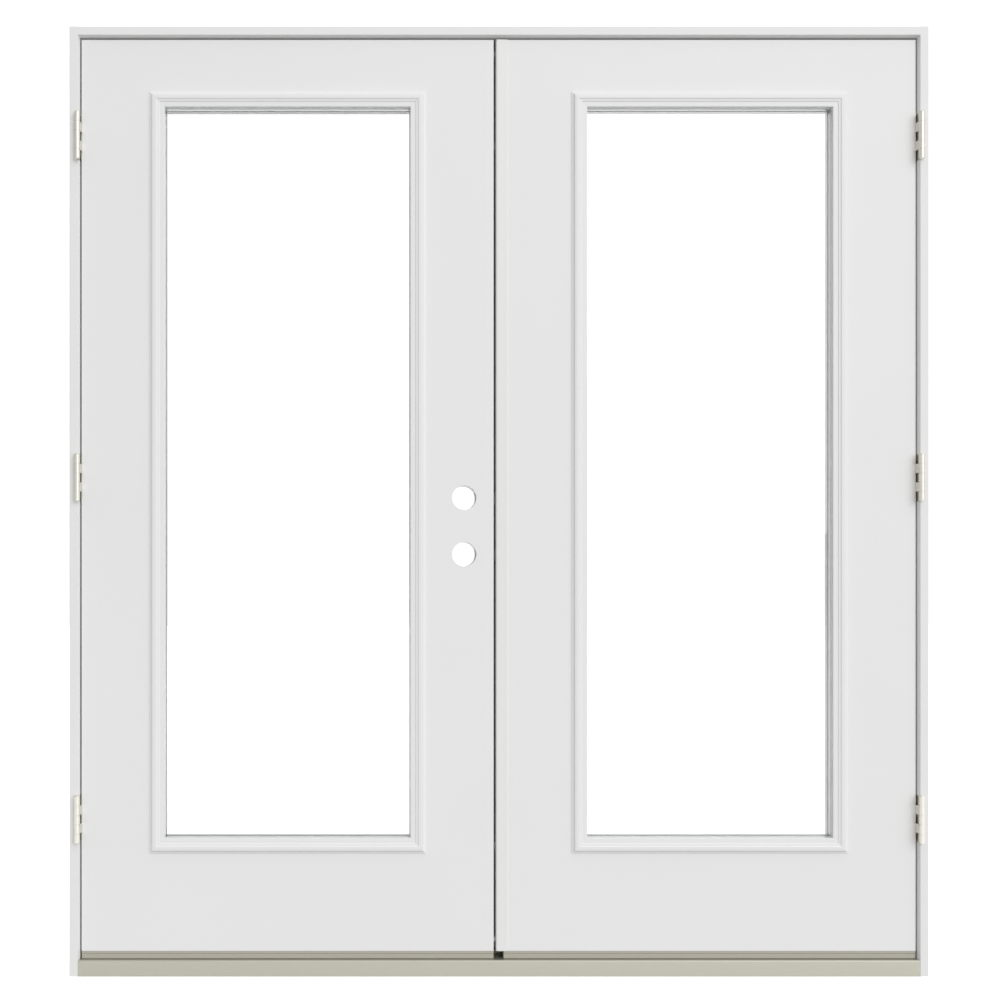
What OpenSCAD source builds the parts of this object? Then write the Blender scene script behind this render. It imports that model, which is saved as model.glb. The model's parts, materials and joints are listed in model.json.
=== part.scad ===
// Pair of outward-opening glazed doors in their own frame, seen from outside along +Y.
// X runs across the opening, Y through the wall towards the room, and Z up from the floor.
// The origin is on the floor, at the middle of the opening and of the jambs' depth.
// The left leaf is the one in daily use. The right leaf carries the astragal and its two bolts.

/* [Frame] */
// Width over the side jambs
frame_w = 1890; // [1500:1:2400]
// Height from the floor to the top of the head jamb
frame_h = 2090; // [1850:1:2500]
// Depth of the jambs through the wall
jamb_d = 116; // [105:1:170]
// Jamb thickness in the rabbet, beside the leaves
jamb_t = 21.5; // [20:0.5:30]
// How far the stop stands in past the rabbet
stop_w = 12.5; // [11:0.5:18]
// Width of the bevel on the jambs' front inner edge
bevel_w = 3.5; // [1:0.5:6]

/* [Leaves] */
// Thickness of a leaf
leaf_t = 44.5; // [40:0.5:57]
// How far the leaves lie behind the front of the jambs
leaf_set = 9; // [7:0.5:12]
// Gap between a leaf and the side jambs
leaf_gap = 3.2; // [2.5:0.1:5]
// Gap between a leaf and the head jamb
head_gap = 4.6; // [2.5:0.1:6]
// Height of a leaf's bottom edge above the floor
leaf_lift = 54.3; // [50:0.1:70]
// Width of the stiles at each side of the glazing frame
stile_w = 149.8; // [130:1:190]
// Height of the top rail above the glazing frame
top_rail = 114.6; // [80:1:180]
// Height of the bottom rail below the glazing frame
bottom_rail = 215; // [120:1:320]

/* [Lock bores] */
// Bore diameter for the lock and for the deadbolt
bore_d = 54; // [38:1:60]
// Distance from the lock edge to the bores
backset = 65; // [60:0.5:70]
// Height of the lower bore above the floor
bore_z = 929; // [850:1:1100]
// Distance between the two bores
bore_pitch = 125; // [100:1:150]
// Diameter of the holes from the lock edge into the bores
edge_bore_d = 25.4; // [20:0.1:27]

/* [Glazing] */
// Face width of the glazing frame
lite_bar = 34.5; // [33:0.5:45]
// How far the glazing frame stands proud of the leaf
lite_proud = 8; // [7:0.5:12]
// Thickness of each pane
pane_t = 3; // [3:0.5:6]
// Thickness of the sealed glass unit
unit_t = 18; // [14:1:24]
// Screws along each long side of a glazing frame
long_screws = 6; // [3:1:8]

/* [Hinges] */
// Height of a hinge
hinge_h = 101.6; // [90:0.1:120]
// Outer radius of the knuckles
knuckle_r = 6.5; // [5.5:0.1:7]
// Radius of the hinge pins
pin_r = 3.5; // [2.5:0.1:4]
// Thickness of a hinge plate
plate_t = 2.2; // [1.8:0.1:2.6]
// How far a plate reaches across the leaf's edge
plate_reach = 38; // [30:0.5:39]
// Distance from the leaf's top edge to the middle of the upper hinge
hinge_top = 215; // [150:1:300]
// Distance from the leaf's bottom edge to the middle of the lower hinge
hinge_bottom = 292; // [150:1:350]

/* [Astragal] */
// Width of the astragal between the two leaves
astragal_w = 16.6; // [16:0.1:25]
// Gap between the left leaf and the astragal
astragal_gap = 4.8; // [3.5:0.1:6]
// How far the front lip laps the right leaf
lip_lap = 8.5; // [5:0.1:14]
// How far the back lip reaches behind the left leaf
stop_lap = 22; // [15:0.5:30]
// Diameter of the two bolts
bolt_d = 8; // [6:0.5:9]
// Travel of the upper bolt
head_travel = 18; // [12:1:20]
// Travel of the lower bolt
foot_travel = 30; // [24:1:34]

/* [Threshold] */
// Height of the nose at the front
nose_h = 36.4; // [28:0.1:37]
// Height of the riser that the leaves close against
riser_h = 62; // [60:1:76]
// Wall of the metal cover
cover_t = 2.5; // [1.5:0.1:3]

/* [Hidden] */
$fn = 48;
fit = 0.3;                                  // clearance of a soft strip from what closes on it
run = 0.05;                                 // running clearance of a pin or a screw, on the radius
seal_gap = 4.5;                             // room for a seal between leaf and stop
kerf_w = 2.4;                               // slot that holds a seal's fin
kerf_d = 8;
kerf_in = 3.6;
fin_w = kerf_w;
y_front = -jamb_d / 2;
y_room = jamb_d / 2;
y_face = y_front + leaf_set;                // outer face of the leaves
y_back = y_face + leaf_t;                   // room face of the leaves
y_stop = y_back + seal_gap;                 // face of the stops
y_mid = (y_face + y_back) / 2;
ease = 1;                                   // easing of the long outer corners
meet_ease = 3;                              // rounding of a leaf's front corner at the meeting edge
x_out = frame_w / 2;
x_cope = x_out - 2 * ease;                  // cross pieces start here and are coped to the jambs
x_rab = x_out - jamb_t;                     // rabbet face of the side jambs
x_edge = x_rab - leaf_gap;                  // hinge edge of a leaf
x_lock = (astragal_w + astragal_gap) / 2;   // meeting edge of a leaf
leaf_w = x_edge - x_lock;
z_rab = frame_h - jamb_t;
z_top = z_rab - head_gap;
leaf_h = z_top - leaf_lift;
lite_w = leaf_w - 2 * stile_w;
lite_h = leaf_h - top_rail - bottom_rail;
lite_x = -x_edge + leaf_w / 2;              // middle of the left leaf's glazing
lite_z = leaf_lift + bottom_rail + lite_h / 2;
cut_in = 17.5;                              // cut-out in the leaf, in from the glazing frame's edge
leg_in = 18;                                // leg of the glazing frame inside the cut-out
glass_in = 29;                              // edge of the glass unit
screw_in = 23;                              // line of the glazing screws
unit_face = (leaf_t - unit_t) / 2;          // depth of the glass behind the leaf's face
spacer_w = 5;
lite_screw_r = 1.9;
lite_head_r = 3.8;
lite_head_h = 2.4;
plug_r = 4.6;
plug_seat = 3;                              // height of the plug's seat above the leaf's face
screw_r = 2.2;                              // hinge screws
screw_head_r = 4.2;
drive_w = 4.6;                              // cross recess in a screw's head
drive_t = 1;
drive_h = 1.5;
jamb_screw_l = 16;
leaf_screw_l = 24;
pin_x = -x_edge - knuckle_r;                // axis of the left hinge pins
pin_y = y_front - knuckle_r - fit;
knuckles = 5;
knuckle_h = hinge_h / knuckles;
knuckle_gap = 0.3;
plate_corner = 12;                          // radius of the plates' inner corners
hinge_z = [leaf_lift + hinge_bottom,
           (leaf_lift + hinge_bottom + z_top - hinge_top) / 2,
           z_top - hinge_top];              // middles of the lower, middle and upper hinge
sweep_h = 17;                               // height of the strip under a leaf
sweep_gap = 0.6;                            // clearance of the strip over the threshold
deck_z = leaf_lift - sweep_h - sweep_gap;         // threshold deck under the leaves
sill_fit = 0.5;
ast_x = x_lock - astragal_w;                // meeting face of the astragal
lip_t = 2.5;
stop_t = 6;                                 // thickness of the astragal's back lip
stop_end = 9;                               // back lip ends this far short of the head and riser
bolt_x = (ast_x + x_lock) / 2;
bolt_l = 250;
bolt_r = bolt_d / 2;
strike_w = 28;
strike_h = 57;
strike_t = 1.6;

WHITE = "#e8e8e8";
BEIGE = "#b8b6a9";
STEEL = "#c9c9c4";
HEIGHTS = ["lower", "middle", "upper"];

// ---- helpers -------------------------------------------------------------

// Outline in (y, z), extruded across the opening from x0 to x1
module along_x(x0, x1) {
    translate([x0, 0, 0]) rotate([90, 0, 90]) linear_extrude(x1 - x0) children();
}

// Left-hand shape as it is, or its mirror image on the right
module on_side(side) {
    if (side == "left") children();
    else mirror([1, 0, 0]) children();
}

function arc(cx, cy, r, a0, a1, n) =
    [for (i = [0:n]) let (a = a0 + (a1 - a0) * i / n) [cx + r * cos(a), cy + r * sin(a)]];

// Moulding of section [in from the edge, out from the face], mitred round a rectangle
module mitred_frame(section, w, h, face, way) {
    n = len(section);
    signs = [[-1, -1], [1, -1], [1, 1], [-1, 1]];
    points = [for (s = signs) for (p = section)
        [s[0] * (w / 2 - p[0]), face + way * p[1], s[1] * (h / 2 - p[0])]];
    faces = [for (c = [0:3]) for (i = [0:n - 1])
        let (a = c * n + i, b = c * n + (i + 1) % n,
             d = ((c + 1) % 4) * n + i, e = ((c + 1) % 4) * n + (i + 1) % n)
        way < 0 ? [a, b, e, d] : [a, d, e, b]];
    polyhedron(points, faces);
}

// ---- frame ---------------------------------------------------------------

// Jamb section as [in from the outer face, through the wall], with or without the seal's slot
function jamb_section(grow, kerf) = concat(
    [[0, y_front + ease - grow], [ease, y_front - grow],
     [jamb_t - bevel_w + grow, y_front - grow], [jamb_t - bevel_w + grow, y_front],
     [jamb_t + grow, y_face], [jamb_t + grow, y_stop - grow]],
    kerf ? [[jamb_t + kerf_in, y_stop], [jamb_t + kerf_in, y_stop + kerf_d],
            [jamb_t + kerf_in + kerf_w, y_stop + kerf_d], [jamb_t + kerf_in + kerf_w, y_stop]] : [],
    [[jamb_t + stop_w + grow, y_stop - grow], [jamb_t + stop_w + grow, y_room + grow],
     [0, y_room + grow]]);

module side_bar(grow, kerf) {
    linear_extrude(frame_h) translate([-x_out, 0]) polygon(jamb_section(grow, kerf));
}

module both_bars(grow) {
    side_bar(grow, false);
    mirror([1, 0, 0]) side_bar(grow, false);
}

module head_jamb() color(WHITE) {
    difference() {
        along_x(-x_cope, x_cope)
            polygon([for (p = jamb_section(0, true)) [p[1], frame_h - p[0]]]);
        both_bars(0);
        translate([bolt_x, y_mid, z_rab - 1]) cylinder(r = bolt_r + 1, h = head_travel + 1 - head_gap + 2);
    }
}

module side_jamb(side) color(WHITE) on_side(side) {
    difference() {
        side_bar(0, true);
        for (z = hinge_z) {
            along_x(-x_rab - plate_t, -x_rab + 1) translate([0, z]) plate_outline(y_front - 1, fit);
            jamb_screw_places(z) screw_hole(jamb_screw_l);
        }
    }
}

function seal_pad(clear) = [jamb_t + clear, jamb_t + stop_w - 1];

// Foam strip on a stop, with the fin that is pushed into the slot
function seal_section() = let (p = seal_pad(fit)) [
    [p[0], y_back + fit], [p[1], y_back + fit], [p[1], y_stop],
    [jamb_t + kerf_in + fin_w, y_stop], [jamb_t + kerf_in + fin_w, y_stop + kerf_d - fit],
    [jamb_t + kerf_in, y_stop + kerf_d - fit], [jamb_t + kerf_in, y_stop], [p[0], y_stop]];

module head_seal() color("white") {
    difference() {
        along_x(-x_rab + fit, x_rab - fit)
            polygon([for (p = seal_section()) [p[1], frame_h - p[0]]]);
        for (m = [0, 1]) mirror([m, 0, 0])
            translate([-x_out, y_stop, 0]) cube([jamb_t + stop_w, kerf_d, frame_h]);
    }
}

module side_seal(side) color("white") on_side(side) {
    z0 = deck_z + 2;
    z1 = frame_h - seal_pad(fit)[1];
    translate([-x_out, 0, z0]) linear_extrude(z1 - z0) polygon(seal_section());
}

// ---- threshold -----------------------------------------------------------

riser_t = 14;
nose_r = 4;
sill_back = 30;                             // height of the back edge

module sill_outline() {
    polygon(concat(
        [[y_front, 0]],
        arc(y_front + nose_r, nose_h - nose_r, nose_r, 180, 95, 6),
        [[y_back - 4, deck_z], [y_stop, deck_z], [y_stop, riser_h], [y_stop + riser_t - 4, riser_h],
         [y_stop + riser_t, riser_h - 4], [y_room, sill_back], [y_room, 0]]));
}

module core_outline() {
    polygon([[y_front + cover_t, 0], [y_front + cover_t, nose_h - nose_r],
        [y_back - 4, deck_z - cover_t], [y_stop + cover_t, deck_z - cover_t],
        [y_stop + cover_t, riser_h - cover_t], [y_stop + riser_t - 5, riser_h - cover_t],
        [y_stop + riser_t - cover_t, riser_h - 8], [y_room - cover_t, sill_back - cover_t],
        [y_room - cover_t, 0]]);
}

module foot_hole() {
    translate([bolt_x, y_mid, leaf_lift - foot_travel - 2])
        cylinder(r = bolt_r + 1, h = foot_travel + 4);
}

// Stretch of the wooden core between two depths through the wall
module core_part(y0, y1) {
    difference() {
        along_x(-x_cope, x_cope) intersection() {
            core_outline();
            translate([y0, -1]) square([y1 - y0, riser_h + 2]);
        }
        both_bars(sill_fit);
        foot_hole();
    }
}

module sill_core() color("#6f6a60") core_part(y_front, y_stop + cover_t);
module riser_core() color("#6f6a60") core_part(y_stop + cover_t, y_room);

module sill_cover() color(BEIGE) {
    difference() {
        along_x(-x_cope, x_cope) difference() {
            sill_outline();
            core_outline();
        }
        both_bars(sill_fit);
        foot_hole();
    }
}

// Bumper strip on the riser, with a hollow bulb that meets the leaf's room face
module sill_seal() color("#55534d") {
    x = x_rab - stop_w - sill_fit;
    y0 = y_back + fit;
    z0 = deck_z + 8;
    z1 = riser_h - 1;
    along_x(-x, x) difference() {
        polygon([[y_stop, z0], [y0 + 1.2, z0], [y0, z0 + 3], [y0, z1 - 3], [y0 + 1.2, z1], [y_stop, z1]]);
        translate([y0 + 1.2, z0 + 4]) square([y_stop - y0 - 2.2, z1 - z0 - 8]);
    }
}

// ---- hinges --------------------------------------------------------------

// Outline of a hinge plate in (y, z) about its middle, from y0 back to its rounded corners
module plate_outline(y0, grow) {
    y1 = y_face + plate_reach + grow;
    h = hinge_h / 2 + grow;
    polygon(concat(
        [[y0, -h]],
        arc(y1 - plate_corner, -h + plate_corner, plate_corner, -90, 0, 6),
        arc(y1 - plate_corner, h - plate_corner, plate_corner, 0, 90, 6),
        [[y0, h]]));
}

module plate_screws(z) {
    for (i = [0:3])
        translate([0, y_face + (i % 2 == 0 ? 12 : 27), z + hinge_h * (i - 1.5) / 4.6]) children();
}

// Screw seats on the jamb face, pointing into the jamb
module jamb_screw_places(z) {
    plate_screws(z) translate([-x_rab, 0, 0]) rotate([0, -90, 0]) children();
}

// Screw seats on the leaf's edge, pointing into the leaf
module leaf_screw_places(z) {
    plate_screws(z) translate([-x_edge, 0, 0]) rotate([0, 90, 0]) children();
}

module hinge_screw(l, grow) {
    cylinder(r1 = screw_head_r + grow, r2 = screw_r + grow, h = plate_t);
    cylinder(r = screw_r + grow, h = l);
}

module driven_screw(l) {
    difference() {
        hinge_screw(l, 0);
        for (a = [0, 90]) rotate([0, 0, a])
            translate([-drive_w / 2, -drive_t / 2, -0.01]) cube([drive_w, drive_t, drive_h]);
    }
}

module screw_hole(l) {
    translate([0, 0, -0.01]) hinge_screw(l + fit, run);
}

// Point just inside the left knuckles' round, at an angle from +X
function on_knuckle(a) = [pin_x + 0.98 * knuckle_r * cos(a), pin_y + 0.98 * knuckle_r * sin(a)];

module knuckle_stack(z, which) {
    for (k = which)
        translate([0, 0, z - hinge_h / 2 + k * knuckle_h + knuckle_gap / 2])
            linear_extrude(knuckle_h - knuckle_gap) {
                translate([pin_x, pin_y]) circle(knuckle_r);
                children();
            }
}

module pin_hole(z) {
    translate([pin_x, pin_y, z - hinge_h / 2 - 1]) cylinder(r = pin_r + run, h = hinge_h + 2);
}

module jamb_plate(side, z) color(STEEL) on_side(side) {
    y0 = pin_y + knuckle_r + 0.5;
    difference() {
        union() {
            along_x(-x_rab - plate_t, -x_rab) translate([0, z]) plate_outline(y0, 0);
            knuckle_stack(z, [0, 2, 4])
                translate([-x_rab - plate_t, pin_y + 1]) square([plate_t, y0 - pin_y]);
        }
        pin_hole(z);
        jamb_screw_places(z) screw_hole(jamb_screw_l);
    }
}

module leaf_plate(side, z) color(STEEL) on_side(side) {
    difference() {
        union() {
            along_x(-x_edge, -x_edge + plate_t) translate([0, z]) plate_outline(y_face, 0);
            knuckle_stack(z, [1, 3])
                polygon([[-x_edge, y_face + 1], [-x_edge + plate_t, y_face + 1],
                    [-x_edge + plate_t, y_face], on_knuckle(30), on_knuckle(58)]);
        }
        pin_hole(z);
        leaf_screw_places(z) screw_hole(leaf_screw_l);
    }
}

// Pin with a button head above and a rounded tip below
module hinge_pin(side, z) color(STEEL) on_side(side) {
    head_h = 2.2;
    tip_h = 1.4;
    translate([pin_x, pin_y, z - hinge_h / 2]) {
        translate([0, 0, -tip_h]) cylinder(r = pin_r, h = hinge_h + tip_h);
        translate([0, 0, -tip_h]) cylinder(r1 = knuckle_r - 2, r2 = knuckle_r - 1, h = tip_h);
        translate([0, 0, hinge_h]) cylinder(r1 = knuckle_r, r2 = knuckle_r - 1.2, h = head_h);
    }
}

module jamb_screws(side) color(STEEL) on_side(side) {
    for (z = hinge_z) jamb_screw_places(z) driven_screw(jamb_screw_l);
}

module hinge_screws(side) color(STEEL) on_side(side) {
    for (z = hinge_z) leaf_screw_places(z) driven_screw(leaf_screw_l);
}

// ---- leaves --------------------------------------------------------------

module leaf(side) color(WHITE) on_side(side) {
    difference() {
        translate([0, 0, leaf_lift]) linear_extrude(leaf_h) polygon(concat(
            arc(-x_edge + ease, y_face + ease, ease, 180, 270, 3),
            arc(-x_lock - meet_ease, y_face + meet_ease, meet_ease, 270, 360, 6),
            arc(-x_lock - ease, y_back - ease, ease, 0, 90, 3),
            arc(-x_edge + ease, y_back - ease, ease, 90, 180, 3)));
        translate([lite_x, y_mid, lite_z])
            cube([lite_w - 2 * cut_in, leaf_t + 2, lite_h - 2 * cut_in], center = true);
        for (z = hinge_z) {
            along_x(-x_edge - 1, -x_edge + plate_t) translate([0, z]) plate_outline(y_face - 1, fit);
            leaf_screw_places(z) screw_hole(leaf_screw_l);
        }
        if (side == "left") lock_holes();
    }
}

module lock_holes() {
    for (z = [bore_z, bore_z + bore_pitch]) {
        translate([-x_lock - backset, y_face - 1, z]) rotate([-90, 0, 0])
            cylinder(d = bore_d, h = leaf_t + 2, $fn = 96);
        translate([-x_lock - backset, y_mid, z]) rotate([0, 90, 0])
            cylinder(d = edge_bore_d, h = backset + 1);
    }
}

// Strip under a leaf: a cap along the edge, and fins that wipe the threshold
module leaf_sweep(side) color(BEIGE) on_side(side) {
    top = leaf_lift;
    low = leaf_lift - sweep_h;
    y0 = y_face + 0.6;
    y1 = y_back - 1;
    groove_z = top - 5.4;
    along_x(-x_edge + 0.5, -x_lock - 0.5) union() {
        polygon([[y0, top], [y0, groove_z], [y0 + 1.4, groove_z - 0.4], [y0 + 1.4, groove_z - 0.9],
            [y0 + 0.4, groove_z - 1.3], [y0 + 0.4, low + 4.6], [y1, low + 4.6], [y1, top]]);
        for (i = [0:3])
            translate([y0 + 0.4 + i * (y1 - y0 - 2.9) / 3, low]) square([2.5, 5]);
    }
}

// Section of the glazing frame: a coved edge, a flat, two small steps and an inner land
function lite_section() = concat(
    [[0, 0], [0, 1.2]],
    arc(0.6, 8.4, 6.6, -78, -8, 6),
    [[9.6, lite_proud - 0.3], [10.4, lite_proud], [15.6, lite_proud], [16.8, lite_proud - 0.5],
     [18.4, lite_proud - 1.8], [21.4, lite_proud - 1.9], [22.2, lite_proud - 2.3],
     [23.8, lite_proud - 3.5], [lite_bar - 1.6, lite_proud - 3.6], [lite_bar - 0.4, lite_proud - 4.2],
     [lite_bar, lite_proud - 5.4], [lite_bar, -unit_face], [leg_in, -unit_face], [leg_in, 0]]);

module lite_frame_shape(face, way) {
    translate([lite_x, 0, lite_z]) mitred_frame(lite_section(), lite_w, lite_h, face, way);
}

// Screw places on the glazing frame, at the leaf's room face and pointing outside
module lite_screw_places() {
    w = lite_w / 2 - screw_in;
    h = lite_h / 2 - screw_in;
    step = 2 * h / (long_screws - 1 + 0.8);
    for (sx = [-1, 1]) for (i = [0:long_screws - 1])
        translate([lite_x + sx * w, y_back, lite_z + (i - (long_screws - 1) / 2) * step])
            rotate([90, 0, 0]) children();
    for (sz = [-1, 1]) for (sx = [-1, 1])
        translate([lite_x + sx * w * 0.45, y_back, lite_z + sz * h]) rotate([90, 0, 0]) children();
}

lite_screw_l = leaf_t - unit_face + 8;

module lite_screw(grow) {
    translate([0, 0, -plug_seat + lite_head_h])
        cylinder(r = lite_screw_r + grow, h = lite_screw_l - lite_head_h);
    translate([0, 0, -plug_seat]) cylinder(r = lite_head_r + grow, h = lite_head_h);
}

module glazing_front(side) color(WHITE) on_side(side) {
    difference() {
        lite_frame_shape(y_face, -1);
        lite_screw_places() lite_screw(run);
    }
}

module glazing_back(side) color(WHITE) on_side(side) {
    difference() {
        lite_frame_shape(y_back, 1);
        lite_screw_places() {
            lite_screw(run);
            translate([0, 0, -lite_proud - 1]) cylinder(r = plug_r + run, h = lite_proud + 1 - plug_seat);
        }
    }
}

module glazing_screws(side) color(STEEL) on_side(side) lite_screw_places() lite_screw(0);

module screw_plugs(side) color(WHITE) on_side(side) {
    lite_screw_places() translate([0, 0, -lite_proud + 1.6])
        cylinder(r1 = plug_r - 0.4, r2 = plug_r, h = lite_proud - 1.6 - plug_seat);
}

module pane(y) {
    w = lite_w - 2 * glass_in;
    h = lite_h - 2 * glass_in;
    translate([lite_x - w / 2, y, lite_z - h / 2]) cube([w, pane_t, h]);
}

module outer_pane(side) color("#eef6f6", 0.35) on_side(side) pane(y_face + unit_face);
module inner_pane(side) color("#eef6f6", 0.35) on_side(side) pane(y_back - unit_face - pane_t);

module glass_spacer(side) color("#9a9a98") on_side(side) {
    w = lite_w - 2 * glass_in;
    h = lite_h - 2 * glass_in;
    gap = unit_t - 2 * pane_t;
    translate([lite_x, y_mid, lite_z]) difference() {
        cube([w, gap, h], center = true);
        cube([w - 2 * spacer_w, gap + 1, h - 2 * spacer_w], center = true);
    }
}

// ---- astragal ------------------------------------------------------------

stop_z0 = riser_h + stop_end;
stop_z1 = z_rab - stop_w - stop_end;

module astragal_body() {
    nose = 3.5;
    translate([0, 0, leaf_lift]) linear_extrude(leaf_h) polygon(concat(
        arc(ast_x + nose, y_face - lip_t + nose, nose, 180, 270, 6),
        [[x_lock + lip_lap - 1, y_face - lip_t], [x_lock + lip_lap, y_face - lip_t + 1],
         [x_lock + lip_lap, y_face], [x_lock, y_face], [x_lock, y_back], [ast_x, y_back]]));
    translate([ast_x, y_back - 1, stop_z0])
        cube([x_lock + lip_lap - ast_x, y_stop - y_back + 1, stop_z1 - stop_z0]);
}

// Plate behind both meeting edges, screwed to the back of the bar
module astragal_stop() color(WHITE) {
    translate([0, 0, stop_z0]) linear_extrude(stop_z1 - stop_z0) polygon([
        [-x_lock - stop_lap, y_stop], [x_lock + lip_lap, y_stop],
        [x_lock + lip_lap, y_stop + stop_t - ease], [x_lock + lip_lap - ease, y_stop + stop_t],
        [-x_lock - stop_lap + ease, y_stop + stop_t], [-x_lock - stop_lap, y_stop + stop_t - ease]]);
}

knob_l = 14;
knob_w = 6;

// Middle of a bolt's knob at rest, measured from the bolt's tip
knob_at = bolt_l - 20;

module knob_slot(z0, z1) {
    translate([ast_x - 1, y_mid - knob_w / 2 - 0.2, z0]) cube([bolt_x - ast_x + 1, knob_w + 0.4, z1 - z0]);
}

module astragal() color(WHITE) {
    difference() {
        astragal_body();
        translate([x_lock - 0.01, y_back - 2, stop_z0 - 1]) cube([lip_lap + 1, 2, stop_z1 - stop_z0 + 2]);
        translate([bolt_x, y_mid, leaf_lift - 1]) cylinder(r = bolt_r + run, h = bolt_l + 4);
        translate([bolt_x, y_mid, z_top - bolt_l - 3]) cylinder(r = bolt_r + run, h = bolt_l + 4);
        knob_slot(leaf_lift + knob_at - foot_travel - knob_l / 2 - 1, leaf_lift + knob_at + knob_l / 2 + 1);
        knob_slot(z_top - knob_at - knob_l / 2 - 1, z_top - knob_at + head_travel + knob_l / 2 + 1);
        for (z = [bore_z, bore_z + bore_pitch])
            translate([ast_x, y_mid, z]) {
                cube([2 * strike_t, strike_w + 0.2, strike_h + 0.2], center = true);
                cube([24, strike_w - 12, strike_h - 28], center = true);
                strike_screw_places() cylinder(r = screw_r - 0.5, h = 12);
            }
    }
}

module strike_screw_places() {
    for (s = [-1, 1]) translate([0, 0, s * (strike_h / 2 - 7)]) rotate([0, 90, 0]) children();
}

module strike(z) color(STEEL) {
    translate([ast_x, y_mid, z]) difference() {
        translate([strike_t / 2, 0, 0]) cube([strike_t, strike_w, strike_h], center = true);
        cube([24, strike_w - 14, strike_h - 30], center = true);
        strike_screw_places() translate([0, 0, -1]) cylinder(r = screw_r - 0.5, h = 4);
    }
}

module lock_strike() strike(bore_z);
module deadbolt_strike() strike(bore_z + bore_pitch);

// Foam strip on the back lip, behind the left leaf's meeting edge
module astragal_seal() color("white") {
    translate([-x_lock - stop_lap + 1, y_back + fit, stop_z0])
        cube([stop_lap - 4, seal_gap - fit, stop_z1 - stop_z0]);
}

// Rod with a knob, its tip flush with the end of the astragal
module flush_bolt() {
    tip = 1.5;
    cylinder(r1 = bolt_r - tip, r2 = bolt_r, h = tip);
    translate([0, 0, tip]) cylinder(r = bolt_r, h = bolt_l - tip);
    translate([ast_x - bolt_x - 1, -knob_w / 2, knob_at - knob_l / 2])
        cube([bolt_x - ast_x + 1, knob_w, knob_l]);
}

module foot_bolt() color(STEEL) translate([bolt_x, y_mid, leaf_lift]) flush_bolt();
module head_bolt() color(STEEL) translate([bolt_x, y_mid, z_top]) mirror([0, 0, 1]) flush_bolt();

// ---- drawing -------------------------------------------------------------

head_jamb();
side_jamb("left");  // left_jamb
side_jamb("right");  // right_jamb
sill_core();
riser_core();
sill_cover();
sill_seal();
head_seal();
side_seal("left");  // left_jamb_seal
side_seal("right");  // right_jamb_seal
for (s = ["left", "right"]) {
    for (i = [0:2]) {
        jamb_plate(s, hinge_z[i]);
        leaf_plate(s, hinge_z[i]);
        hinge_pin(s, hinge_z[i]);
    }
    jamb_screws(s);
    hinge_screws(s);
    leaf(s);
    leaf_sweep(s);
    glazing_front(s);
    glazing_back(s);
    glazing_screws(s);
    screw_plugs(s);
    outer_pane(s);
    inner_pane(s);
    glass_spacer(s);
}
astragal();
astragal_stop();
astragal_seal();
lock_strike();
deadbolt_strike();
head_bolt();
foot_bolt();
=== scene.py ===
# %% [markdown]
# # A pair of glazed doors in their frame
#
# A prehung exterior door comes as one unit: a wooden frame with a metal threshold, two leaves
# hung on butt hinges, and an astragal that closes the gap between them. Every solid piece comes
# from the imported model, at its real size. This script gives each one the finish that it has on
# the real object, and sets up the studio.

import json
import math

import bmesh
import bpy
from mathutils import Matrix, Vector

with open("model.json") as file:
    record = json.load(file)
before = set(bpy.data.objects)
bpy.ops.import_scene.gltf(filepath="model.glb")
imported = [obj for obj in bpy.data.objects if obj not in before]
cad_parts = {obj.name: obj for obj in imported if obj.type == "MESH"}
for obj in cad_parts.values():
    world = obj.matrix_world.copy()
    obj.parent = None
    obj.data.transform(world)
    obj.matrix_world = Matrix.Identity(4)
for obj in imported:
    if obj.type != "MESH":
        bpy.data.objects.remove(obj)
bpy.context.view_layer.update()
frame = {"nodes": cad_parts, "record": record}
nodes = frame["nodes"]
slot_of = {part["node"]: part["material_slot"] for part in frame["record"]["subparts"]}
print("pieces loaded:", len(nodes))

# %% [markdown]
# ## Helpers for finishes
#
# Paint and plastic colours are usually noted as sRGB hex values, but Blender's shaders work in
# linear light, so one function converts them. A second one adds a shader node, sets its inputs
# and makes its links, which keeps each material below short enough to read as a recipe.

# %% Colour and node helpers
MM = 0.001


def linear(hex_colour):
    """sRGB hex string to linear RGBA."""
    channels = [int(hex_colour[i:i + 2], 16) / 255 for i in (1, 3, 5)]
    return [c / 12.92 if c <= 0.04045 else ((c + 0.055) / 1.055) ** 2.4 for c in channels] + [1.0]


def add(tree, kind, inputs=None, **settings):
    """Adds a node. A value in inputs is either set on the socket or, if it is a socket, linked."""
    made = tree.nodes.new(kind)
    for name, value in settings.items():
        setattr(made, name, value)
    for name, value in (inputs or {}).items():
        if isinstance(value, bpy.types.NodeSocket):
            tree.links.new(value, made.inputs[name])
        else:
            made.inputs[name].default_value = value
    return made


def start(name):
    """A new material with only its output, and the object coordinates that patterns read."""
    print("material:", name)
    material = bpy.data.materials.new(name)
    material.use_nodes = True
    tree = material.node_tree
    tree.nodes.clear()
    output = add(tree, "ShaderNodeOutputMaterial")
    place = add(tree, "ShaderNodeTexCoord").outputs["Object"]
    return material, tree, output, place


def finish_material(tree, output, shader):
    tree.links.new(shader.outputs["BSDF"], output.inputs["Surface"])


# %% [markdown]
# ## White paint on the wooden frame
#
# The jambs are finger-jointed pine under a primer and a satin topcoat, put on by a roller. A
# roller leaves a faint, rounded stipple about 3 mm across, and the coat is a touch uneven in
# gloss. The stipple is one noise texture used as a bump, and a wide noise moves the roughness,
# so that a low light breaks up instead of sliding over the jamb as it would over plastic.

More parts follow.
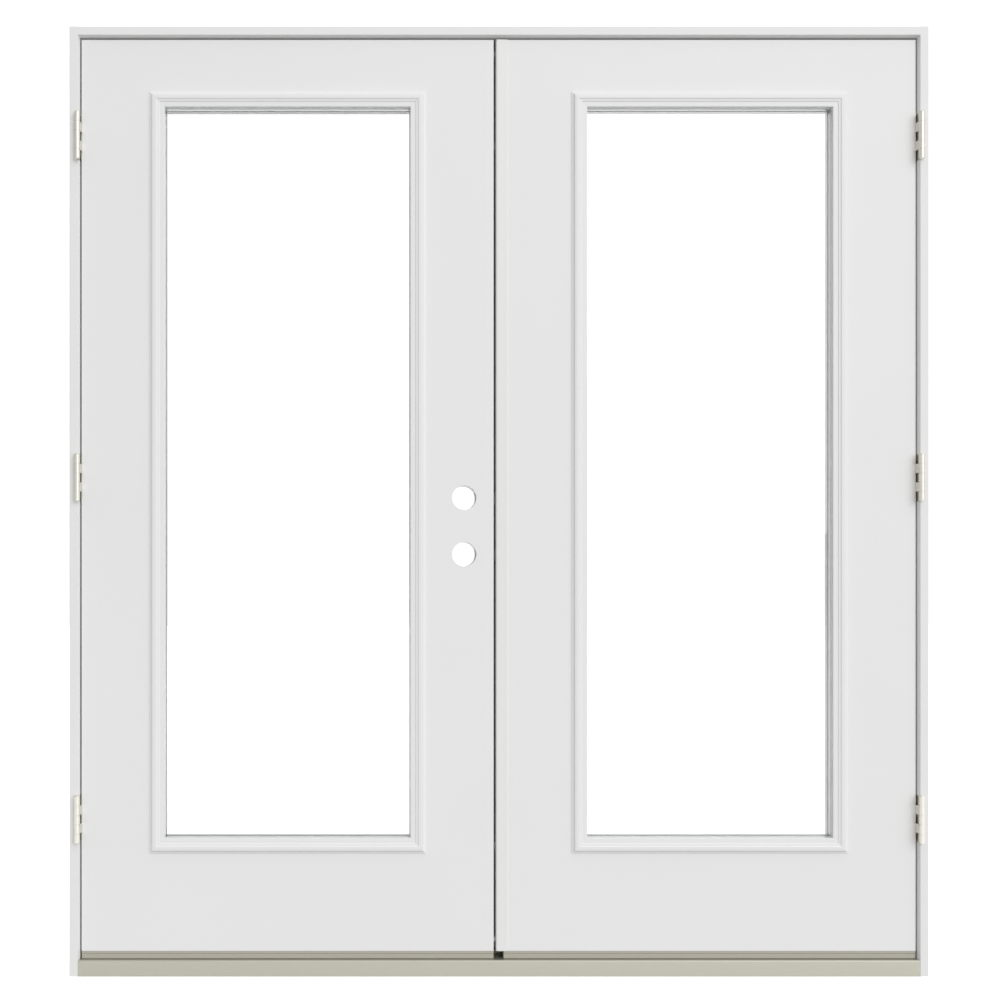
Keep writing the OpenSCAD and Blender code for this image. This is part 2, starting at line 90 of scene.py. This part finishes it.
# %% Satin paint on wood
def satin_paint():
    material, tree, output, place = start("satin paint on pine")
    stipple = add(tree, "ShaderNodeTexNoise", {
        "Vector": place, "Scale": 1 / (3 * MM), "Detail": 2.0})
    patches = add(tree, "ShaderNodeTexNoise", {
        "Vector": place, "Scale": 1 / (120 * MM), "Detail": 3.0})
    gloss = add(tree, "ShaderNodeMapRange", {
        "Value": patches.outputs["Fac"], "To Min": 0.38, "To Max": 0.50})
    tone = add(tree, "ShaderNodeMix", {"Factor": patches.outputs["Fac"], "A": linear("#e6e6e5"),
                                       "B": linear("#e9e9e9")}, data_type="RGBA")
    bump = add(tree, "ShaderNodeBump", {
        "Height": stipple.outputs["Fac"], "Strength": 0.06, "Distance": 0.2 * MM})
    paint = add(tree, "ShaderNodeBsdfPrincipled", {
        "Base Color": tone.outputs["Result"], "Roughness": gloss.outputs["Result"],
        "Normal": bump.outputs["Normal"], "IOR": 1.5})
    finish_material(tree, output, paint)
    return material


# %% [markdown]
# ## Moulded skin of the leaves
#
# Each leaf is a foam core between two smooth, moulded skins, sprayed white at the factory.
# Sprayed paint is flatter than rolled paint: it shows a fine orange peel about 1.5 mm across
# and hardly any change in tone. The skins are large and flat, so a very wide, very shallow
# second bump lets reflections wander slightly, as they do on a real foam-filled door.

# %% Sprayed enamel on the leaves
def sprayed_skin():
    material, tree, output, place = start("sprayed enamel on moulded skin")
    peel = add(tree, "ShaderNodeTexNoise", {
        "Vector": place, "Scale": 1 / (1.5 * MM), "Detail": 1.0})
    swell = add(tree, "ShaderNodeTexNoise", {
        "Vector": place, "Scale": 1 / (260 * MM), "Detail": 1.0})
    fine = add(tree, "ShaderNodeBump", {
        "Height": peel.outputs["Fac"], "Strength": 0.05, "Distance": 0.1 * MM})
    wide = add(tree, "ShaderNodeBump", {
        "Height": swell.outputs["Fac"], "Strength": 0.15, "Distance": 1.5 * MM,
        "Normal": fine.outputs["Normal"]})
    tone = add(tree, "ShaderNodeMix", {"Factor": swell.outputs["Fac"], "A": linear("#e8e8e8"),
                                       "B": linear("#eaeaea")}, data_type="RGBA")
    gloss = add(tree, "ShaderNodeMapRange", {
        "Value": peel.outputs["Fac"], "To Min": 0.36, "To Max": 0.44})
    paint = add(tree, "ShaderNodeBsdfPrincipled", {
        "Base Color": tone.outputs["Result"], "Roughness": gloss.outputs["Result"],
        "Normal": wide.outputs["Normal"], "IOR": 1.5})
    finish_material(tree, output, paint)
    return material


# %% [markdown]
# ## Injection-moulded glazing frames
#
# The frames that clamp the glass are white polypropylene from a spark-eroded mould, which
# prints a very fine, even grain on the plastic. The grain of a real mould is about 0.3 mm, too
# fine to show here, so it is drawn at 0.8 mm.

# %% Grained polypropylene
def grained_plastic():
    material, tree, output, place = start("grained white polypropylene")
    grain = add(tree, "ShaderNodeTexNoise", {
        "Vector": place, "Scale": 1 / (0.8 * MM), "Detail": 0.0})
    flow = add(tree, "ShaderNodeTexNoise", {
        "Vector": place, "Scale": 1 / (180 * MM), "Detail": 2.0})
    bump = add(tree, "ShaderNodeBump", {
        "Height": grain.outputs["Fac"], "Strength": 0.06, "Distance": 0.06 * MM})
    gloss = add(tree, "ShaderNodeMapRange", {
        "Value": flow.outputs["Fac"], "To Min": 0.30, "To Max": 0.40})
    plastic = add(tree, "ShaderNodeBsdfPrincipled", {
        "Base Color": linear("#e8e8e9"), "Roughness": gloss.outputs["Result"],
        "Normal": bump.outputs["Normal"], "IOR": 1.49})
    finish_material(tree, output, plastic)
    return material


# %% [markdown]
# ## Enamelled astragal
#
# The astragal is an aluminium extrusion with a baked white enamel. Extruding leaves die lines
# that run its whole length. Under the enamel they stay as faint vertical ridges, so the noise
# is stretched a hundredfold along Z and squeezed across it.

# %% White enamel on extruded aluminium
def enamelled_extrusion():
    material, tree, output, place = start("white enamel on extruded aluminium")
    stretched = add(tree, "ShaderNodeMapping", {"Vector": place, "Scale": (1.0, 1.0, 0.01)})
    lines = add(tree, "ShaderNodeTexNoise", {
        "Vector": stretched.outputs["Vector"], "Scale": 1 / (2 * MM), "Detail": 1.0})
    bump = add(tree, "ShaderNodeBump", {
        "Height": lines.outputs["Fac"], "Strength": 0.06, "Distance": 0.1 * MM})
    gloss = add(tree, "ShaderNodeMapRange", {
        "Value": lines.outputs["Fac"], "To Min": 0.28, "To Max": 0.36})
    enamel = add(tree, "ShaderNodeBsdfPrincipled", {
        "Base Color": linear("#e7e7e6"), "Roughness": gloss.outputs["Result"],
        "Normal": bump.outputs["Normal"], "IOR": 1.5, "Coat Weight": 0.15, "Coat Roughness": 0.2})
    finish_material(tree, output, enamel)
    return material


# %% [markdown]
# ## Float glass
#
# Clear float glass is nearly colourless through its face and green only through its edge. The
# panes have real thickness, so light bends at both faces. Dust and the last wipe leave an
# extremely faint haze, which a wide noise puts into the roughness.

# %% Clear float glass
def float_glass():
    material, tree, output, place = start("clear float glass")
    haze = add(tree, "ShaderNodeTexNoise", {
        "Vector": place, "Scale": 1 / (200 * MM), "Detail": 4.0})
    film = add(tree, "ShaderNodeMapRange", {
        "Value": haze.outputs["Fac"], "To Min": 0.0, "To Max": 0.012})
    glass = add(tree, "ShaderNodeBsdfPrincipled", {
        "Base Color": linear("#fefffe"), "Roughness": film.outputs["Result"],
        "IOR": 1.52, "Transmission Weight": 1.0})
    finish_material(tree, output, glass)
    return material


# %% [markdown]
# ## Satin nickel on the hinges
#
# The hinges are steel, brushed and then nickel plated. Brushing leaves fine scratches across
# each barrel, which spread a highlight into a soft band. A noise that is short along Z and long
# around the barrel gives both the bump and the change of roughness. The real brush marks are
# finer than a render shows, so they are drawn 0.6 mm apart. The plating is slightly dull, and a
# metallic value just under 1 keeps its shaded side from going black.

# %% Brushed satin nickel
def satin_nickel():
    material, tree, output, place = start("satin nickel on brushed steel")
    stretched = add(tree, "ShaderNodeMapping", {"Vector": place, "Scale": (0.05, 0.05, 1.0)})
    brush = add(tree, "ShaderNodeTexNoise", {
        "Vector": stretched.outputs["Vector"], "Scale": 1 / (0.6 * MM), "Detail": 3.0})
    gloss = add(tree, "ShaderNodeMapRange", {
        "Value": brush.outputs["Fac"], "To Min": 0.32, "To Max": 0.46})
    bump = add(tree, "ShaderNodeBump", {
        "Height": brush.outputs["Fac"], "Strength": 0.1, "Distance": 0.05 * MM})
    nickel = add(tree, "ShaderNodeBsdfPrincipled", {
        "Base Color": linear("#dcdad0"), "Metallic": 0.8, "Roughness": gloss.outputs["Result"],
        "Normal": bump.outputs["Normal"]})
    finish_material(tree, output, nickel)
    return material


# %% [markdown]
# ## Zinc-plated screws
#
# The screws that pull the two halves of a glazing frame together are bright zinc: bluer and
# shinier than nickel, with cloudy patches a few millimetres wide.

# %% Zinc plate
def zinc_plate():
    material, tree, output, place = start("bright zinc plate")
    clouds = add(tree, "ShaderNodeTexNoise", {
        "Vector": place, "Scale": 1 / (2.5 * MM), "Detail": 3.0})
    tone = add(tree, "ShaderNodeMix", {"Factor": clouds.outputs["Fac"], "A": linear("#b4b8bd"),
                                       "B": linear("#d2d4d6")}, data_type="RGBA")
    gloss = add(tree, "ShaderNodeMapRange", {
        "Value": clouds.outputs["Fac"], "To Min": 0.2, "To Max": 0.35})
    zinc = add(tree, "ShaderNodeBsdfPrincipled", {
        "Base Color": tone.outputs["Result"], "Metallic": 1.0,
        "Roughness": gloss.outputs["Result"]})
    finish_material(tree, output, zinc)
    return material


# %% [markdown]
# ## Anodised threshold
#
# The threshold's cover is extruded aluminium with a dull champagne anodising. Its die lines run
# across the opening, along X. The anodised layer is clear and slightly warm over bare metal, so
# the shader is a metal with a beige tint and a roughness high enough to lose sharp reflections.

# %% Champagne anodising
def champagne_anodised():
    material, tree, output, place = start("champagne anodised aluminium")
    stretched = add(tree, "ShaderNodeMapping", {"Vector": place, "Scale": (0.01, 1.0, 1.0)})
    lines = add(tree, "ShaderNodeTexNoise", {
        "Vector": stretched.outputs["Vector"], "Scale": 1 / (1.5 * MM), "Detail": 2.0})
    gloss = add(tree, "ShaderNodeMapRange", {
        "Value": lines.outputs["Fac"], "To Min": 0.42, "To Max": 0.56})
    tone = add(tree, "ShaderNodeMix", {"Factor": lines.outputs["Fac"], "A": linear("#adab9f"),
                                       "B": linear("#b4b3a6")}, data_type="RGBA")
    bump = add(tree, "ShaderNodeBump", {
        "Height": lines.outputs["Fac"], "Strength": 0.1, "Distance": 0.08 * MM})
    metal = add(tree, "ShaderNodeBsdfPrincipled", {
        "Base Color": tone.outputs["Result"], "Metallic": 0.85,
        "Roughness": gloss.outputs["Result"], "Normal": bump.outputs["Normal"]})
    finish_material(tree, output, metal)
    return material


# %% [markdown]
# ## Bare aluminium between the panes
#
# The spacer that holds two panes apart is a roll-formed aluminium tube, left as it came from the
# mill. It is a plain metal, and a noise 4 mm wide makes its gloss slightly uneven.

# %% Mill aluminium of the spacer
def mill_aluminium():
    material, tree, output, place = start("mill aluminium")
    marks = add(tree, "ShaderNodeTexNoise", {"Vector": place, "Scale": 1 / (4 * MM), "Detail": 2.0})
    gloss = add(tree, "ShaderNodeMapRange", {
        "Value": marks.outputs["Fac"], "To Min": 0.3, "To Max": 0.45})
    metal = add(tree, "ShaderNodeBsdfPrincipled", {
        "Base Color": linear("#c8c9c9"), "Metallic": 1.0, "Roughness": gloss.outputs["Result"]})
    finish_material(tree, output, metal)
    return material


# %% [markdown]
# ## Vinyl and foam
#
# Three soft finishes share one recipe. The sweep and the bumper are extruded vinyl, dull and
# slightly mottled. The weatherstrips are foam in a thin bronze skin, with a fine pebble. Their
# dark bronze is partly the skin's own colour and partly painted shade, which darkens the narrow
# gaps between the leaves and the frame where the seals sit. One function takes the colours,
# the pebble's size and the gloss.

# %% Soft vinyl and foam
def soft_finish(name, dark, light, pebble_mm, rough):
    material, tree, output, place = start(name)
    pebble = add(tree, "ShaderNodeTexNoise", {
        "Vector": place, "Scale": 1 / (pebble_mm * MM), "Detail": 2.0})
    tone = add(tree, "ShaderNodeMix", {"Factor": pebble.outputs["Fac"], "A": linear(dark),
                                       "B": linear(light)}, data_type="RGBA")
    gloss = add(tree, "ShaderNodeMapRange", {"Value": pebble.outputs["Fac"], "To Min": rough - 0.05,
                                             "To Max": rough + 0.05})
    bump = add(tree, "ShaderNodeBump", {
        "Height": pebble.outputs["Fac"], "Strength": 0.15, "Distance": 0.1 * MM})
    soft = add(tree, "ShaderNodeBsdfPrincipled", {
        "Base Color": tone.outputs["Result"], "Roughness": gloss.outputs["Result"],
        "Normal": bump.outputs["Normal"], "IOR": 1.53})
    finish_material(tree, output, soft)
    return material


# %% [markdown]
# ## Bare wood in the threshold
#
# The threshold's core is unpainted softwood under the metal cover. Its growth rings, 25 mm
# apart here, show as long streaks: a banded wave, bent by noise and stretched along X.

# %% Bare softwood
def softwood():
    material, tree, output, place = start("bare softwood")
    along = add(tree, "ShaderNodeMapping", {"Vector": place, "Scale": (0.06, 1.0, 1.0)})
    rings = add(tree, "ShaderNodeTexWave", {
        "Vector": along.outputs["Vector"], "Scale": 1 / (25 * MM), "Distortion": 5.0,
        "Detail": 3.0, "Detail Scale": 1.5}, bands_direction="Z")
    tone = add(tree, "ShaderNodeMix", {"Factor": rings.outputs["Fac"], "A": linear("#b48d5c"),
                                       "B": linear("#d3b384")}, data_type="RGBA")
    bump = add(tree, "ShaderNodeBump", {
        "Height": rings.outputs["Fac"], "Strength": 0.15, "Distance": 0.2 * MM})
    wood = add(tree, "ShaderNodeBsdfPrincipled", {
        "Base Color": tone.outputs["Result"], "Roughness": 0.65, "Normal": bump.outputs["Normal"]})
    finish_material(tree, output, wood)
    return material


# %% [markdown]
# ## Dressing the pieces
#
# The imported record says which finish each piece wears, by the name of a slot. A table from slot
# to material then dresses every piece in one pass.

# %% Put each finish on its pieces
finishes = {
    "painted_wood": satin_paint(),
    "painted_leaf": sprayed_skin(),
    "painted_astragal": enamelled_extrusion(),
    "glazing_frame": grained_plastic(),
    "glass": float_glass(),
    "spacer": mill_aluminium(),
    "sweep": soft_finish("beige vinyl sweep", "#aaa698", "#b4b1a4", 3.0, 0.55),
    "threshold_cover": champagne_anodised(),
    "threshold_core": softwood(),
    "bumper": soft_finish("dark vinyl bumper", "#4c4a45", "#57554f", 2.0, 0.6),
    # The seals' dark colour is partly their own bronze and partly painted shade for the gaps they
    # sit in.
    "seal": soft_finish("bronze foam skin with painted gap shade", "#5a554d", "#645f56", 1.2, 0.55),
    "steel_screws": zinc_plate(),
    "hinge_metal": satin_nickel(),
}
for name, piece in nodes.items():
    material = finishes[slot_of[name]]
    piece.data.materials.clear()
    piece.data.materials.append(material)
print("finishes:", sorted(m.name for m in finishes.values()))

# %% [markdown]
# ## Studio
#
# The floor and the air around the doors are plain and nearly white. A soft source above and to
# the right gives the mouldings a light side and a shaded side, and the surround fills the
# shadows, as white walls do in a real studio.

# %% Floor
# The floor glows a little, so that it looks as white as the air around it. Diffuse rays pass it
# by, so it doesn't light the doors from below.
FLOOR_GLOW = 0.45
FLOOR_HALF = 20.0
floor_mesh = bpy.data.meshes.new("floor")
shape = bmesh.new()
bmesh.ops.create_grid(shape, x_segments=1, y_segments=1, size=FLOOR_HALF)
shape.to_mesh(floor_mesh)
shape.free()
floor = bpy.data.objects.new("floor", floor_mesh)
bpy.context.scene.collection.objects.link(floor)
floor.visible_diffuse = False
floor_finish, tree, output, place = start("pale studio floor")
shade = add(tree, "ShaderNodeBsdfPrincipled", {
    "Base Color": linear("#f2f2f2"), "Emission Color": linear("#ffffff"),
    "Emission Strength": FLOOR_GLOW, "Roughness": 0.9, "Specular IOR Level": 0.1})
finish_material(tree, output, shade)
floor_mesh.materials.append(floor_finish)
print("floor added")

# %% Surround
# The surround looks pure white straight on and through the glass, but lights the doors just over
# half as strongly, so that white paint stays under white and stands out against it. It lights
# least from below and from the left, which gives the mouldings a shaded side.
SEEN_LEVEL = 1.1
LIT_LEVEL = 0.64
LIT_SLOPE = (0.14, 0.0, 0.30)
world = bpy.data.worlds.new("white surround")
bpy.context.scene.world = world
world.use_nodes = True
tree = world.node_tree
tree.nodes.clear()
rays = add(tree, "ShaderNodeLightPath")
bounced = add(tree, "ShaderNodeMath", {
    0: rays.outputs["Is Diffuse Ray"], 1: rays.outputs["Is Glossy Ray"]}, operation="MAXIMUM")
opaque = add(tree, "ShaderNodeMath", {
    0: bounced.outputs["Value"], 1: rays.outputs["Is Transmission Ray"]}, operation="SUBTRACT")
way = add(tree, "ShaderNodeTexCoord").outputs["Generated"]
slope = add(tree, "ShaderNodeVectorMath", {0: way, 1: LIT_SLOPE}, operation="DOT_PRODUCT")
lit = add(tree, "ShaderNodeMath", {0: slope.outputs["Value"], 1: LIT_LEVEL}, operation="ADD")
level = add(tree, "ShaderNodeMapRange", {"Value": opaque.outputs["Value"], "To Min": SEEN_LEVEL,
                                         "To Max": lit.outputs["Value"]})
air = add(tree, "ShaderNodeBackground", {
    "Color": linear("#ffffff"), "Strength": level.outputs["Result"]})
add(tree, "ShaderNodeOutputWorld", {"Surface": air.outputs["Background"]})
bpy.context.scene.view_settings.view_transform = "Standard"
print("surround seen at", SEEN_LEVEL, "and lighting at", LIT_LEVEL)

# %% Key light
# A sun lamp lights the whole width alike, wherever it stands. Its wide angle makes it as soft as
# a large window.
KEY_FROM = Vector((0.45, -0.80, 0.42))
KEY_STAND = 4.0
key_light = bpy.data.lights.new("key", "SUN")
key_light.energy = 1.15
key_light.angle = math.radians(50)
key = bpy.data.objects.new("key", key_light)
key.location = KEY_STAND * KEY_FROM
key.rotation_euler = KEY_FROM.to_track_quat("Z", "Y").to_euler()
bpy.context.scene.collection.objects.link(key)
print("key light from", tuple(round(v, 2) for v in KEY_FROM))

# %% [markdown]
# ## Camera
#
# Tall, upright things are best shown with a level camera that faces straight across, so that
# uprights stay upright. The lens is shifted to bring the whole frame into the picture. The camera
# stands left of the middle, 3 metres away, just below half the frame's height.

# %% Level camera with a shifted lens
camera_data = bpy.data.cameras.new("camera")
camera_data.lens = 50.0
camera_data.sensor_width = 36.0
camera_data.shift_x = 0.165
camera_data.shift_y = 0.072
camera = bpy.data.objects.new("camera", camera_data)
camera.location = (-0.361, -3.113, 0.890)
camera.rotation_euler = (math.radians(90), 0.0, 0.0)
bpy.context.scene.collection.objects.link(camera)
bpy.context.scene.camera = camera
print("camera", tuple(round(v, 3) for v in camera.location))
